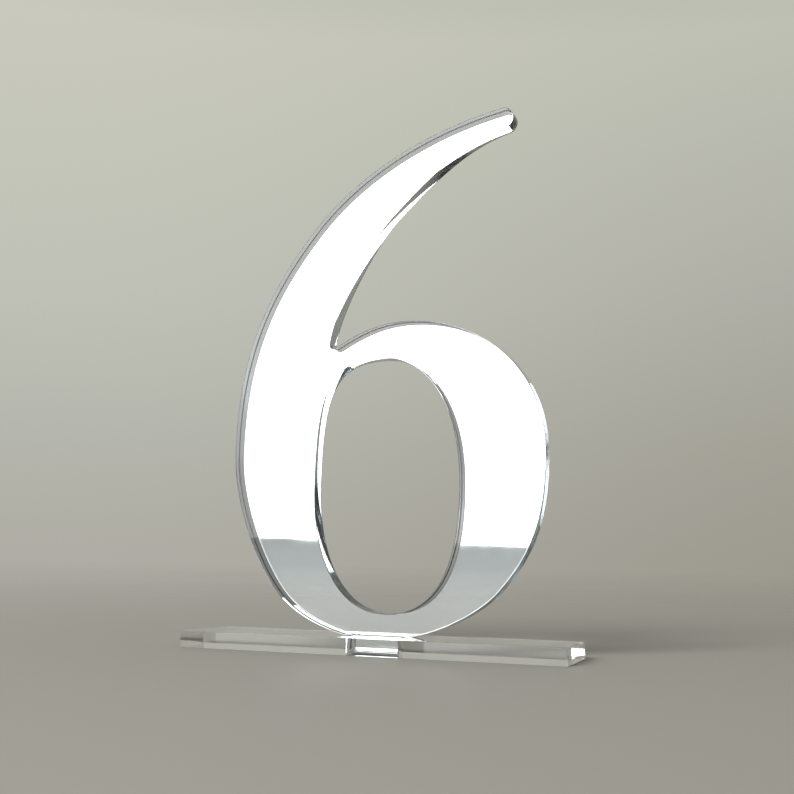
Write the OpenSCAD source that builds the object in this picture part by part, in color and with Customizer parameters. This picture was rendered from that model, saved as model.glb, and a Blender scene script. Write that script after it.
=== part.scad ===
// Table number holder: a mirror-acrylic digit 6 standing by its tab in a slotted clear bar.
// Millimetres. X runs along the bar, the digit faces -Y, +Z is up.
// The origin is the centre of the bar's underside.

/* [Bar] */
// length of the bar
base_l = 115; // [95:1:160]
// depth of the bar, front to back
base_d = 25; // [18:0.5:40]
// thickness of the bar's sheet
base_h = 4.8; // [4:0.1:8]

/* [Digit] */
// height of the digit above the bar
digit_h = 154; // [140:1:170]
// distance of the digit's centre line from its tab's centre
digit_x = 0.6; // [-2:0.1:2]
// whole thickness of the mirror sheet
sheet_t = 4.8; // [2:0.1:6]
// reflecting layer behind the clear sheet
mirror_t = 0.05; // [0.02:0.01:0.1]
// protective paint behind the reflecting layer
paint_t = 0.1; // [0.05:0.01:0.2]

/* [Tab and slot] */
// distance of the tab's and the slot's centre from the bar's centre
tab_x = 0.6; // [-20:0.1:20]
// width of the tab under the digit
tab_w = 15.6; // [8:0.2:17]
// air between the tab's faces and the slot's walls, each side
slot_gap = 0.1; // [0.05:0.05:0.3]
// air between the tab's ends and the slot's ends, each side
slot_end_gap = 0.1; // [0.05:0.05:0.5]
// how far the tab stops above the bar's underside
tab_short = 0.3; // [0.1:0.1:1]

/* [Hidden] */
// height that the outline below is drawn at, and the scale to the wanted height
drawn_h = 154;
k = digit_h / drawn_h;
// straight pieces per curve and per arc
n_curve = 16;
n_arc = 14;
// small overlap of a cut past the solid
over = 1;
face_y = -sheet_t / 2;
clear_t = sheet_t - mirror_t - paint_t;

// The digit's outline, measured from its centre line and from the bar's top.
// Its round bowl ends in a short flat foot, which stands on the bar.
foot_left = [-10.8, 0];
foot_right = [9.2, 0];
low_left = [-31.5, 10.3];
left = [-48.2, 52.8];
shoulder = [-21.9, 123.5];
tip_top = [34.8, 153.6];
tip = [35.4, 150.5];
tip_r = 3.3;
tip_low = [36.3, 147.3];
stem_mid = [1.9, 123.2];
notch = [-16.6, 85.2];
notch_r = 1;
stem_end = [-17.6, 85.3];
bowl_start = [-16.1, 84.3];
bowl_top = [7.2, 91.5];
right = [48.4, 51.8];
low_right = [35.7, 14.1];

outer = concat(
  curve(foot_left, [-18.5, 1.7], [-26.5, 5.1], low_left),
  curve(low_left, [-39.8, 18.9], [-48.2, 38.4], left),
  curve(left, [-48.2, 82.2], [-40.6, 101.8], shoulder),
  curve(shoulder, [-6.1, 141.1], [16.9, 150.3], tip_top),
  arc(tip, tip_r, 100, -75),
  curve(tip_low, [23.1, 143.8], [12.7, 134], stem_mid),
  curve(stem_mid, [-5.7, 115.5], [-16.5, 95.5], stem_end),
  arc(notch, notch_r, 174, 300),
  curve(bowl_start, [-9.4, 88], [-3.2, 91.5], bowl_top),
  curve(bowl_top, [28.9, 91.5], [48.4, 76.8], right),
  curve(right, [48.4, 32.7], [43.6, 23.3], low_right),
  curve(low_right, [29.6, 6.9], [18.5, 2.1], foot_right),
  [foot_right]
);

// The bowl's opening.
in_left = [-21.25, 42.1];
in_top = [-0.2, 80.5];
in_right = [23.3, 42.7];
in_foot = [1.7, 6.5];

counter = concat(
  curve(in_left, [-21.25, 72.3], [-17.4, 80.5], in_top),
  curve(in_top, [11.1, 80.5], [23.3, 68.9], in_right),
  curve(in_right, [23.3, 18.2], [15.6, 6.5], in_foot),
  curve(in_foot, [-14.5, 6.5], [-21.25, 24.9], in_left)
);

// One cubic curve from a to d with handles b and c, without its last point.
function curve(a, b, c, d) =
  [for (i = [0 : n_curve - 1]) let (t = i / n_curve, s = 1 - t)
    s * s * s * a + 3 * s * s * t * b + 3 * s * t * t * c + t * t * t * d];

// One arc about m from angle u to angle v, without its ends.
function arc(m, r, u, v) =
  [for (i = [1 : n_arc - 1]) let (w = u + (v - u) * i / n_arc) m + r * [cos(w), sin(w)]];

// The tab's corners, from the right-hand end of the foot round to the left-hand end.
tab_low = tab_short - base_h;
tab_right = tab_w / 2 - digit_x;
tab_left = -tab_w / 2 - digit_x;
tab = [[tab_right, 0], [tab_right, tab_low], [tab_left, tab_low], [tab_left, 0]];

// The digit and its tab in the XZ plane.
module digit_2d() {
  translate([tab_x + digit_x, base_h]) difference() {
    polygon(concat(k * outer, tab));
    polygon(k * counter);
  }
}

// A slice of the digit between two depths behind its front face.
module slice(from, thick) {
  translate([0, face_y + from + thick, 0])
    rotate([90, 0, 0]) linear_extrude(thick) digit_2d();
}

// Clear bar with the slot right through it.
module stand_base() {
  slot_l = tab_w + 2 * slot_end_gap;
  slot_w = sheet_t + 2 * slot_gap;
  color([0.93, 0.96, 0.96, 0.3]) difference() {
    translate([-base_l / 2, -base_d / 2, 0]) cube([base_l, base_d, base_h]);
    translate([tab_x - slot_l / 2, -slot_w / 2, -over]) cube([slot_l, slot_w, base_h + 2 * over]);
  }
}

// Clear front sheet of the digit.
module number_sheet() {
  color([0.9, 0.94, 0.95, 0.35]) slice(0, clear_t);
}

// Reflecting layer on the back of the clear sheet.
module mirror_layer() {
  color([0.86, 0.88, 0.9]) slice(clear_t, mirror_t);
}

// Grey protective paint over the reflecting layer.
module back_coat() {
  color([0.42, 0.43, 0.44]) slice(clear_t + mirror_t, paint_t);
}

stand_base();
number_sheet();
mirror_layer();
back_coat();
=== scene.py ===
import bpy, bmesh, math
from mathutils import Vector, Matrix


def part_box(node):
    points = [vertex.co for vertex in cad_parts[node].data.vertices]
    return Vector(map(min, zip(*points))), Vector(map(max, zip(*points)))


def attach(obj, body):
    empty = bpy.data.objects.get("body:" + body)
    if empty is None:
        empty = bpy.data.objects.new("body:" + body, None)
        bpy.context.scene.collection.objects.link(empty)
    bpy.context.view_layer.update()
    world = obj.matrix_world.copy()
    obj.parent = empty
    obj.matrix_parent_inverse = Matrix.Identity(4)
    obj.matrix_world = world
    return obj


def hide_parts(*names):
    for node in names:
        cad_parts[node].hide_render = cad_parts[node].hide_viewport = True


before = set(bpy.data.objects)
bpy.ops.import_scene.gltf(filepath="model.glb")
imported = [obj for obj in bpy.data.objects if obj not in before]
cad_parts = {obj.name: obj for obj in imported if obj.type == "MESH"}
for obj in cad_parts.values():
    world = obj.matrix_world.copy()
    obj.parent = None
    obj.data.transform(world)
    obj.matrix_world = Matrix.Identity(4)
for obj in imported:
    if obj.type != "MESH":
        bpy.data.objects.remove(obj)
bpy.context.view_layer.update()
scene = bpy.context.scene
MM = 0.001

# ---------------------------------------------------------------- sizes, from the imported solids
bar_lo, bar_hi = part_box("stand_base")
sheet_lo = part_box("number_sheet")[0]
film_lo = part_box("mirror_layer")[0]
paint_lo, paint_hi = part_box("back_coat")
BAR_H = bar_hi.z
FACE_Y = sheet_lo.y          # the digit's front face
FILM_Y = film_lo.y           # where the clear sheet ends and the metal film starts
PAINT_Y = paint_lo.y         # where the film ends and the grey paint starts
BACK_Y = paint_hi.y          # the digit's back face

DIGIT_X = 1.2 * MM           # the digit's centre line
TAB_X = 0.6 * MM             # the tab's and the slot's centre
TAB_W = 15.6 * MM
TAB_END = 0.3 * MM           # the tab's lower end, above the table
SLOT_L, SLOT_W = 15.8 * MM, 5.0 * MM
BAR_CORNER, SLOT_CORNER = 0.3 * MM, 0.05 * MM

# where the visual departs from the solids' square edges and straight walls
FRONT_SOFT, BACK_SOFT = 0.2 * MM, 0.05 * MM     # the clear sheet's two edges
SHEET_LEAN = 0.12 * MM                          # its wall's inset at the front
BAR_SOFT = 0.09 * MM
BAR_LEAN = 0.15 * MM                            # the bar's wall's inset at the top
BURNT = 0.22 * MM                               # how far the cut has burnt the film back from the rim
HAIR = 0.004 * MM                               # how far the layers reach into each other
PAINT_IN, PAINT_SOFT = 0.02 * MM, 0.03 * MM     # the paint's inset, and its softened back edge
CREASE = math.radians(20)                       # faces that meet at more than this keep a crisp edge

# ---------------------------------------------------------------- the digit's outline
# cubic curves in mm, measured from the digit's centre line and the bar's top, clockwise; an arc has its centre, its
# radius and its first and last angle
FOOT_RIGHT = (9.2, 0)
OUTER = [
    ((-10.8, 0), (-18.5, 1.7), (-26.5, 5.1), (-31.5, 10.3)),
    ((-31.5, 10.3), (-39.8, 18.9), (-48.2, 38.4), (-48.2, 52.8)),
    ((-48.2, 52.8), (-48.2, 82.2), (-40.6, 101.8), (-21.9, 123.5)),
    ((-21.9, 123.5), (-6.1, 141.1), (16.9, 150.3), (34.8, 153.6)),
    ("arc", (35.4, 150.5), 3.3, 100, -75),
    ((36.3, 147.3), (23.1, 143.8), (12.7, 134), (1.9, 123.2)),
    ((1.9, 123.2), (-5.7, 115.5), (-16.5, 95.5), (-17.6, 85.3)),
    ("arc", (-16.6, 85.2), 1.0, 174, 300),
    ((-16.1, 84.3), (-9.4, 88), (-3.2, 91.5), (7.2, 91.5)),
    ((7.2, 91.5), (28.9, 91.5), (48.4, 76.8), (48.4, 51.8)),
    ((48.4, 51.8), (48.4, 32.7), (43.6, 23.3), (35.7, 14.1)),
    ((35.7, 14.1), (29.6, 6.9), (18.5, 2.1), FOOT_RIGHT),
]
COUNTER = [
    ((-21.25, 42.1), (-21.25, 72.3), (-17.4, 80.5), (-0.2, 80.5)),
    ((-0.2, 80.5), (11.1, 80.5), (23.3, 68.9), (23.3, 42.7)),
    ((23.3, 42.7), (23.3, 18.2), (15.6, 6.5), (1.7, 6.5)),
    ((1.7, 6.5), (-14.5, 6.5), (-21.25, 24.9), (-21.25, 42.1)),
]
CURVE_STEPS = 40
ARC_STEPS = CURVE_STEPS // 2
CORNER_STEPS = 5


def arc_points(centre, r, start, end):
    """The points inside an arc, without its two ends."""
    return [(centre[0] + r * math.cos(math.radians(start + (end - start) * i / ARC_STEPS)),
             centre[1] + r * math.sin(math.radians(start + (end - start) * i / ARC_STEPS)))
            for i in range(1, ARC_STEPS)]


def curve_points(a, b, c, d):
    """The points of a cubic curve, without its last."""
    pts = []
    for i in range(CURVE_STEPS):
        t, s = i / CURVE_STEPS, 1 - i / CURVE_STEPS
        pts.append(tuple(s**3 * a[k] + 3 * s * s * t * b[k] + 3 * s * t * t * c[k] + t**3 * d[k] for k in (0, 1)))
    return pts


def to_frame(x, z):
    """A point of the outline, in metres in the frame's X and Z."""
    return (x * MM + DIGIT_X, z * MM + BAR_H)


def path(parts):
    """The outline's points, without doubles."""
    pts = []
    for p in parts:
        pts += arc_points(*p[1:]) if p[0] == "arc" else curve_points(*p)
    return [to_frame(*q) for q in pts]


def area(loop):
    """The loop's signed area: more than nought when it runs counter-clockwise."""
    return sum(loop[i - 1][0] * loop[i][1] - loop[i][0] * loop[i - 1][1] for i in range(len(loop))) / 2


def digit_loops():
    """The digit with its tab, counter-clockwise, and its counter, clockwise."""
    outer = path(OUTER) + [to_frame(*FOOT_RIGHT)]
    half = TAB_W / 2
    outer += [(x + TAB_X, z) for x, z in ((half, BAR_H), (half, TAB_END), (-half, TAB_END), (-half, BAR_H))]
    counter = path(COUNTER)
    if area(outer) < 0:
        outer.reverse()
    if area(counter) > 0:
        counter.reverse()
    return [outer, counter]


def rounded(x0, x1, y0, y1, r):
    """A rectangle with small corner radii, counter-clockwise."""
    out = []
    for cx, cy, a0 in ((x1 - r, y0 + r, -90), (x1 - r, y1 - r, 0), (x0 + r, y1 - r, 90), (x0 + r, y0 + r, 180)):
        for i in range(CORNER_STEPS + 1):
            a = math.radians(a0 + 90 * i / CORNER_STEPS)
            out.append((cx + r * math.cos(a), cy + r * math.sin(a)))
    return out


def bar_loops():
    """The bar's rectangle, counter-clockwise, and its slot, clockwise."""
    hx, hy = (bar_hi.x - bar_lo.x) / 2, (bar_hi.y - bar_lo.y) / 2
    slot = rounded(TAB_X - SLOT_L / 2, TAB_X + SLOT_L / 2, -SLOT_W / 2, SLOT_W / 2, SLOT_CORNER)
    return [rounded(-hx, hx, -hy, hy, BAR_CORNER), list(reversed(slot))]


# ---------------------------------------------------------------- solids from outlines
def inset(loop, d):
    """The closed loop moved d towards its left-hand side, by the mean of the neighbouring edges' normals."""
    least_cos = 0.35        # nothing smaller is divided by, so that a sharp corner doesn't shoot out
    out, n = [], len(loop)
    for i, p in enumerate(loop):
        a, b = Vector(loop[i - 1]), Vector(loop[(i + 1) % n])
        p = Vector(p)
        e1, e2 = (p - a).normalized(), (b - p).normalized()
        n1, n2 = Vector((-e1.y, e1.x)), Vector((-e2.y, e2.x))
        m = (n1 + n2).normalized()
        out.append(tuple(p + m * d / max(least_cos, m.dot(n1))))
    return out


def upright(x, z, y):
    """An outline in X and Z, with its depth along Y."""
    return (x, y, z)


def lying(x, y, z):
    """An outline in X and Y, with its depth along Z."""
    return (x, y, z)


def prism(name, loops, sections, to_xyz, wall_slot=1, first_slot=None):
    """A closed solid made of the loops swept through sections (depth, inset), capped flat at both ends.
    Loops run with the solid on their left. Faces of the walls get material slot wall_slot, and those of the
    softened corner at the first end get first_slot."""
    bm = bmesh.new()
    rings = []
    for loop in loops:
        rings.append([[bm.verts.new(to_xyz(x, z, y)) for x, z in (inset(loop, d) if d else loop)]
                      for y, d in sections])
    for ring in rings:
        for k, (a, b) in enumerate(zip(ring, ring[1:])):
            n = len(a)
            for i in range(n):
                f = bm.faces.new((a[i], a[(i + 1) % n], b[(i + 1) % n], b[i]))
                f.material_index = first_slot if first_slot and k < 2 else wall_slot
                f.smooth = True
    for end in (0, -1):
        edges = []
        for ring in rings:
            vs = ring[end]
            edges += [bm.edges.get((vs[i], vs[(i + 1) % len(vs)])) for i in range(len(vs))]
        cap = bmesh.ops.triangle_fill(bm, use_beauty=True, use_dissolve=False, edges=edges)
        for g in cap["geom"]:
            if isinstance(g, bmesh.types.BMFace):
                g.material_index = 0
                g.smooth = True
    bmesh.ops.recalc_face_normals(bm, faces=bm.faces)
    for e in bm.edges:
        if len(e.link_faces) == 2 and e.calc_face_angle(0) > CREASE:
            e.smooth = False
    me = bpy.data.meshes.new(name)
    bm.to_mesh(me)
    bm.free()
    ob = bpy.data.objects.new(name, me)
    scene.collection.objects.link(ob)
    return ob


def cut_profile(y0, y1, r0, r1, lean0=0.0, lean1=0.0):
    """Depths and insets of a wall whose two edges are softened by r0 and r1. A laser's cut is a little wider
    where the beam goes in, so the wall also leans: lean0 and lean1 are its insets at the two ends."""
    s = 1 - math.sqrt(0.5)
    return [(y0, r0 + lean0), (y0 + r0 * s, r0 * s + lean0), (y0 + r0, lean0),
            (y1 - r1, lean1), (y1 - r1 * s, r1 * s + lean1), (y1, r1 + lean1)]


# ---------------------------------------------------------------- shader nodes
def material(name):
    m = bpy.data.materials.new(name)
    m.use_nodes = True
    nt = m.node_tree
    p = next(n for n in nt.nodes if n.type == "BSDF_PRINCIPLED")
    return m, nt, p


def node(nt, kind, **values):
    """A node of this kind. Each value goes to the input of its name, or else to the node's own setting."""
    n = nt.nodes.new(kind)
    for k, v in values.items():
        if k in n.inputs:
            n.inputs[k].default_value = v
        else:
            setattr(n, k, v)
    return n


def coords(nt, scale=(1, 1, 1)):
    """Object coordinates in metres, times scale."""
    tc = nt.nodes.new("ShaderNodeTexCoord")
    mp = nt.nodes.new("ShaderNodeMapping")
    mp.inputs["Scale"].default_value = scale
    nt.links.new(tc.outputs["Object"], mp.inputs["Vector"])
    return mp.outputs["Vector"]


def noise(nt, vec, scale, detail=2.0, rough=0.5):
    n = node(nt, "ShaderNodeTexNoise", Scale=scale, Detail=detail, Roughness=rough)
    nt.links.new(vec, n.inputs["Vector"])
    return n.outputs["Fac"]


def ramp(nt, fac, stops):
    """A grey or a colour that changes with fac, through stops (position, value)."""
    r = nt.nodes.new("ShaderNodeValToRGB")
    els = r.color_ramp.elements
    while len(els) < len(stops):
        els.new(0.5)
    for e, (pos, v) in zip(els, stops):
        e.position = pos
        e.color = (v, v, v, 1) if isinstance(v, (int, float)) else (*v, 1)
    nt.links.new(fac, r.inputs["Fac"])
    return r.outputs["Color"]


def bump(nt, height, strength, distance, below=None):
    b = node(nt, "ShaderNodeBump", Strength=strength, Distance=distance)
    nt.links.new(height, b.inputs["Height"])
    if below is not None:
        nt.links.new(below, b.inputs["Normal"])
    return b.outputs["Normal"]


def math_node(nt, op, a, b):
    n = nt.nodes.new("ShaderNodeMath")
    n.operation = op
    for i, v in enumerate((a, b)):
        if isinstance(v, (int, float)):
            n.inputs[i].default_value = v
        else:
            nt.links.new(v, n.inputs[i])
    return n.outputs[0]


# ---------------------------------------------------------------- materials
TINT = (0.975, 0.988, 0.985)     # clear acrylic has a trace of green-blue
ACRYLIC_IOR = 1.49


def acrylic(name, tint=(1, 1, 1)):
    m, nt, p = material(name)
    p.inputs["Base Color"].default_value = (*tint, 1)
    p.inputs["IOR"].default_value = ACRYLIC_IOR
    p.inputs["Transmission Weight"].default_value = 1.0
    return m, nt, p


def clear_polished(name):
    """A sheet's polished face: almost perfectly clear, with a trace of haze and of orange peel."""
    m, nt, p = acrylic(name, TINT)
    v = coords(nt)
    haze = noise(nt, v, 90, 3)
    nt.links.new(ramp(nt, haze, [(0.35, 0.0), (0.75, 0.03)]), p.inputs["Roughness"])
    peel = noise(nt, v, 60, 1)
    nt.links.new(bump(nt, peel, 0.04, 0.2 * MM), p.inputs["Normal"])
    return m


def clear_cut(name, along, strength):
    """A laser-cut wall: clear, with fine striations across the sheet's thickness. along is the cut's scale
    per axis, near nought on the axis that the beam ran along."""
    m, nt, p = acrylic(name, TINT)
    v = coords(nt, along)
    fine = noise(nt, v, 2600, 2, 0.6)
    wide = noise(nt, v, 420, 2, 0.5)
    both = math_node(nt, "ADD", math_node(nt, "MULTIPLY", fine, 0.45), math_node(nt, "MULTIPLY", wide, 0.55))
    nt.links.new(ramp(nt, both, [(0.35, 0.0), (0.7, 0.02)]), p.inputs["Roughness"])
    nt.links.new(bump(nt, both, strength, 0.015 * MM), p.inputs["Normal"])
    return m


def melted_edge_painted_shade(name):
    """The thin corner where the beam went in: melted round and hazy. Its dark grey tint is painted shade, which
    stands in for the dark line that the rounded corner shows by refraction.
    """
    m, nt, p = acrylic(name)
    v = coords(nt)
    painted_shade_and_haze = noise(nt, v, 140, 3)
    # painted shade: the dark grey base colour paints in the dark refracted line along the edge; the noise also
    # varies the haze
    nt.links.new(ramp(nt, painted_shade_and_haze, [(0.3, (0.2, 0.2, 0.19)), (0.7, (0.34, 0.34, 0.33))]), p.inputs["Base Color"])
    nt.links.new(ramp(nt, painted_shade_and_haze, [(0.3, 0.3), (0.7, 0.18)]), p.inputs["Roughness"])
    return m


def silver_film(name):
    """The mirror: silver, with a slow change of tone and a very slight wave."""
    m, nt, p = material(name)
    p.inputs["Metallic"].default_value = 1.0
    v = coords(nt)
    tone = noise(nt, v, 35, 2)
    nt.links.new(ramp(nt, tone, [(0.3, (0.84, 0.87, 0.885)), (0.7, (0.86, 0.885, 0.895))]), p.inputs["Base Color"])
    nt.links.new(ramp(nt, noise(nt, v, 120, 3), [(0.4, 0.012), (0.8, 0.03)]), p.inputs["Roughness"])
    nt.links.new(bump(nt, noise(nt, v, 22, 1), 0.05, 0.3 * MM), p.inputs["Normal"])
    return m


def back_paint(name):
    """The rolled-on paint that protects the film: matt, mottled and finely speckled."""
    m, nt, p = material(name)
    v = coords(nt)
    mottle = noise(nt, v, 300, 4, 0.6)
    nt.links.new(ramp(nt, mottle, [(0.3, (0.132, 0.137, 0.143)), (0.7, (0.155, 0.16, 0.166))]),
                 p.inputs["Base Color"])
    nt.links.new(ramp(nt, noise(nt, v, 160, 3), [(0.3, 0.42), (0.75, 0.58)]), p.inputs["Roughness"])
    speck = bump(nt, noise(nt, v, 2200, 3, 0.6), 0.25, 0.03 * MM)
    nt.links.new(bump(nt, noise(nt, v, 180, 2), 0.2, 0.05 * MM, speck), p.inputs["Normal"])
    return m


def pale_floor(name, radius):
    """One matt colour. Away from the object it fades into the backdrop, so that no horizon shows."""
    m, nt, p = material(name)
    p.inputs["Roughness"].default_value = 0.5
    p.inputs["Specular IOR Level"].default_value = 0.02
    p.inputs["Base Color"].default_value = (0.33, 0.32, 0.29, 1)
    far = node(nt, "ShaderNodeVectorMath", operation="LENGTH")
    nt.links.new(coords(nt, (1 / radius, 1 / radius, 0)), far.inputs[0])
    nt.links.new(ramp(nt, far.outputs["Value"], [(0.02, 1.0), (0.07, 0.78), (0.14, 0.5), (0.28, 0.22), (0.55, 0.06),
                                                 (0.95, 0.0)]), p.inputs["Alpha"])
    return m


bar_face = clear_polished("bar_polished")
bar_cut = clear_cut("bar_laser_cut", (1, 1, 0.03), 0.1)
sheet_face = clear_polished("sheet_polished")
sheet_cut = clear_cut("sheet_laser_cut", (1, 0.03, 1), 0.03)
# the front rim's material, tinted dark as painted shade for the dark line that the rounded edge shows
sheet_edge = melted_edge_painted_shade("sheet_melted_edge_painted_shade")
film = silver_film("silver_mirror")
paint = back_paint("grey_back_paint")

# ---------------------------------------------------------------- the object
loops = digit_loops()

front = prism("number_clear_sheet", loops, cut_profile(FACE_Y, FILM_Y, FRONT_SOFT, BACK_SOFT, SHEET_LEAN), upright,
              first_slot=2)
front.data.materials.append(sheet_face)
front.data.materials.append(sheet_cut)
front.data.materials.append(sheet_edge)
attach(front, "number")
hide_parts("number_sheet")

# the film reaches a hair into the clear sheet, so that no air lies between them, and the paint shows where the cut
# has burnt the film's rim away
mirror = prism("number_mirror_film", loops, [(FILM_Y - 2 * HAIR, BURNT), (PAINT_Y, BURNT)], upright, wall_slot=0)
mirror.data.materials.append(film)
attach(mirror, "number")
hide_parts("mirror_layer")

coat = prism("number_back_paint", loops, [(FILM_Y - HAIR, PAINT_IN), (BACK_Y - PAINT_SOFT, PAINT_IN),
                                          (BACK_Y, PAINT_IN + PAINT_SOFT)], upright, wall_slot=0)
coat.data.materials.append(paint)
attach(coat, "number")
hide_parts("back_coat")

bar = prism("stand_clear_bar", bar_loops(), cut_profile(bar_lo.z, bar_hi.z, BAR_SOFT, BAR_SOFT, 0, BAR_LEAN), lying)
bar.data.materials.append(bar_face)
bar.data.materials.append(bar_cut)
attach(bar, "base")
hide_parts("stand_base")

# ---------------------------------------------------------------- floor
FLOOR_R = 2.9
FLOOR_Z = -0.03 * MM         # just under the bar, so that the two faces don't share a plane

floor_me = bpy.data.meshes.new("floor")
bm = bmesh.new()
bmesh.ops.create_circle(bm, cap_ends=True, segments=96, radius=FLOOR_R)
bm.to_mesh(floor_me)
bm.free()
floor = bpy.data.objects.new("floor", floor_me)
scene.collection.objects.link(floor)
floor.location.z = FLOOR_Z
floor_me.materials.append(pale_floor("floor_pale", FLOOR_R))

# ---------------------------------------------------------------- surroundings
# what every direction shows, as colours from the horizon (0) straight up (1)
BACKDROP_LEFT = [(0.0, (0.43, 0.42, 0.375)), (0.093, (0.46, 0.465, 0.415)), (0.218, (0.53, 0.535, 0.47)),
                 (0.425, (0.585, 0.59, 0.51)), (0.7, (0.3, 0.3, 0.28)), (1.0, (0.22, 0.22, 0.205))]
BACKDROP_RIGHT = [(0.0, (0.335, 0.32, 0.275)), (0.093, (0.365, 0.355, 0.305)), (0.218, (0.42, 0.42, 0.375)),
                  (0.425, (0.52, 0.525, 0.455)), (0.7, (0.3, 0.3, 0.28)), (1.0, (0.22, 0.22, 0.205))]
ROOM_IN_FRONT = [(0.0, (0.5, 0.515, 0.505)), (0.03, (0.36, 0.37, 0.36)), (0.15, (0.22, 0.22, 0.21)),
                 (1.0, (0.22, 0.22, 0.205))]


def blend(nt, fac, a, b):
    """Colour a where fac is 0, b where it is 1. The Mix node has a set of sockets for each kind of value, and
    these are the ones for colours."""
    m = nt.nodes.new("ShaderNodeMix")
    m.data_type = "RGBA"
    nt.links.new(fac, m.inputs[0])
    nt.links.new(a, m.inputs[6])
    nt.links.new(b, m.inputs[7])
    return m.outputs[2]


def between(nt, out, lo, hi):
    """0 on lo's side and 1 on hi's side, with a soft step from one to the other."""
    r = nt.nodes.new("ShaderNodeMapRange")
    r.interpolation_type = "SMOOTHSTEP"
    r.inputs["From Min"].default_value, r.inputs["From Max"].default_value = lo, hi
    nt.links.new(out, r.inputs["Value"])
    return r.outputs[0]


def studio():
    """A pale backdrop behind the object, darker to the right, and a dimmer room in front of it."""
    world = bpy.data.worlds.new("studio")
    world.use_nodes = True
    nt = world.node_tree
    bg = nt.nodes["Background"]
    tc = nt.nodes.new("ShaderNodeTexCoord")
    way = nt.nodes.new("ShaderNodeSeparateXYZ")
    nt.links.new(tc.outputs["Generated"], way.inputs[0])
    left, right, room = (ramp(nt, way.outputs["Z"], c) for c in (BACKDROP_LEFT, BACKDROP_RIGHT, ROOM_IN_FRONT))
    behind = blend(nt, between(nt, way.outputs["X"], -0.62, 0.08), left, right)
    nt.links.new(blend(nt, between(nt, way.outputs["Y"], 0.25, -0.25), behind, room), bg.inputs["Color"])
    bg.inputs["Strength"].default_value = 1.0
    return world


scene.world = studio()


# ---------------------------------------------------------------- light
def area_light(name, loc, target, width, height, power, color=(1, 1, 1)):
    """A rectangular softbox at loc that faces target. The camera doesn't see it."""
    li = bpy.data.lights.new(name, "AREA")
    li.shape = "RECTANGLE"
    li.size, li.size_y = width, height
    li.energy = power
    li.color = color
    ob = bpy.data.objects.new(name, li)
    scene.collection.objects.link(ob)
    ob.location = loc
    ob.rotation_euler = (Vector(target) - Vector(loc)).to_track_quat("-Z", "Y").to_euler()
    ob.visible_camera = False
    return ob


# a large softbox in front, to the left, turned a little in its own plane: the digit's mirror shows it as the white
# part, and its lower edge is where the white ends
soft = area_light("softbox_front", (-1.4, -3.0, 1.374), (-1.4, 0, 1.374), 2.6, 2.6, 74)
soft.rotation_euler.rotate_axis("Z", math.radians(-0.9))

# this one lights the floor. It is kept out of reflections and of what comes through the clear parts, where it would
# turn the wall along the digit's upper left white. No real lamp can be hidden like that
key = area_light("softbox_key", (-0.6, -2.0, 1.3), (0, 0, 0.05), 1.3, 1.0, 57, (1, 0.99, 0.97))
key.visible_glossy = key.visible_transmission = False

# a weak light from the left
area_light("window_left", (-1.3, 0.15, 0.42), (0, 0, 0.1), 1.1, 0.8, 2)

# ---------------------------------------------------------------- camera
CAMERA_AT = (0.1178, -0.3126, 0.0277)
YAW, PITCH, ROLL = (math.radians(a) for a in (19.93, 7.93, 1.09))     # turned left, tipped up, right side raised
SENSOR_MM, LENS_MM = 36, 51.7

cam_data = bpy.data.cameras.new("camera")
cam_data.sensor_width = SENSOR_MM
cam_data.lens = LENS_MM
cam_data.clip_start, cam_data.clip_end = 0.01, 50
cam = bpy.data.objects.new("camera", cam_data)
scene.collection.objects.link(cam)
fwd = Vector((-math.sin(YAW) * math.cos(PITCH), math.cos(YAW) * math.cos(PITCH), math.sin(PITCH)))
level = Vector((math.cos(YAW), math.sin(YAW), 0))
upward = level.cross(fwd)
right = level * math.cos(ROLL) + upward * math.sin(ROLL)
up = upward * math.cos(ROLL) - level * math.sin(ROLL)
cam.matrix_world = Matrix.Translation(CAMERA_AT) @ Matrix(
    ((right.x, up.x, -fwd.x), (right.y, up.y, -fwd.y), (right.z, up.z, -fwd.z))).to_4x4()
scene.camera = cam
scene.view_settings.view_transform = "Standard"
# light runs a long way inside the clear sheets, from wall to wall, before it comes out
BOUNCES = 40
scene.cycles.max_bounces = scene.cycles.glossy_bounces = scene.cycles.transmission_bounces = BOUNCES
